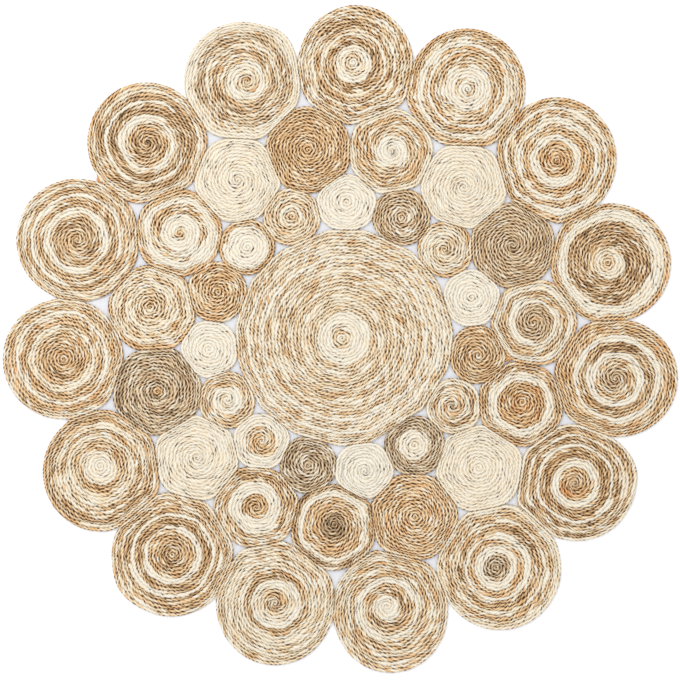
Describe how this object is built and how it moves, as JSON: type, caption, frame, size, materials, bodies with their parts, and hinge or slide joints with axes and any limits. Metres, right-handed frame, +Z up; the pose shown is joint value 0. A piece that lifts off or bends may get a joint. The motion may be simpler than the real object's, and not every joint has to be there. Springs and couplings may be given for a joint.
{
  "type": "round jute rug",
  "caption": "Flat round floor rug of coiled jute cord discs in rings around one large disc, sewn where their rims touch, with open gaps between.",
  "frame": {"origin": "middle of the box round the rug, at its underside", "axes": "+Z up out of the rug's face, +Y towards the top of the rug as it is seen from above, +X to its right"},
  "size_m": [1.4994, 1.4834, 0.008],
  "materials": {
    "yarn_cream": "bleached jute cord, matt and hairy",
    "yarn_straw": "pale natural jute cord, matt and hairy",
    "yarn_pale_mix": "jute cord of bleached and tan strands, matt and hairy",
    "yarn_warm_mix": "jute cord of bleached, tan and brown strands in uneven bands, matt and hairy",
    "yarn_brown_mix": "jute cord of tan, brown and some bleached strands in uneven bands, matt and hairy",
    "yarn_tan": "tan natural jute cord, matt and hairy",
    "yarn_taupe": "grey-brown jute cord, matt and hairy"
  },
  "bodies": {
    "root": {"disc_centre": "yarn_warm_mix", "disc_inner_01": "yarn_cream", "disc_inner_02": "yarn_brown_mix", "disc_inner_03": "yarn_pale_mix", "disc_inner_04": "yarn_cream", "disc_inner_05": "yarn_tan", "disc_inner_06": "yarn_warm_mix", "disc_inner_07": "yarn_brown_mix", "disc_inner_08": "yarn_cream", "disc_inner_09": "yarn_taupe", "disc_inner_10": "yarn_pale_mix", "disc_inner_11": "yarn_pale_mix", "disc_inner_12": "yarn_cream", "disc_inner_13": "yarn_tan", "disc_inner_14": "yarn_cream", "disc_inner_15": "yarn_pale_mix", "disc_middle_01": "yarn_tan", "disc_middle_02": "yarn_warm_mix", "disc_middle_03": "yarn_straw", "disc_middle_04": "yarn_taupe", "disc_middle_05": "yarn_warm_mix", "disc_middle_06": "yarn_warm_mix", "disc_middle_07": "yarn_straw", "disc_middle_08": "yarn_tan", "disc_middle_09": "yarn_brown_mix", "disc_middle_10": "yarn_warm_mix", "disc_middle_11": "yarn_straw", "disc_middle_12": "yarn_taupe", "disc_middle_13": "yarn_warm_mix", "disc_middle_14": "yarn_pale_mix", "disc_middle_15": "yarn_straw", "disc_outer_01": "yarn_warm_mix", "disc_outer_02": "yarn_warm_mix", "disc_outer_03": "yarn_warm_mix", "disc_outer_04": "yarn_brown_mix", "disc_outer_05": "yarn_brown_mix", "disc_outer_06": "yarn_brown_mix", "disc_outer_07": "yarn_brown_mix", "disc_outer_08": "yarn_warm_mix", "disc_outer_09": "yarn_warm_mix", "disc_outer_10": "yarn_brown_mix", "disc_outer_11": "yarn_warm_mix", "disc_outer_12": "yarn_warm_mix", "disc_outer_13": "yarn_warm_mix", "disc_outer_14": "yarn_brown_mix", "disc_outer_15": "yarn_warm_mix"}
  },
  "joints": []
}
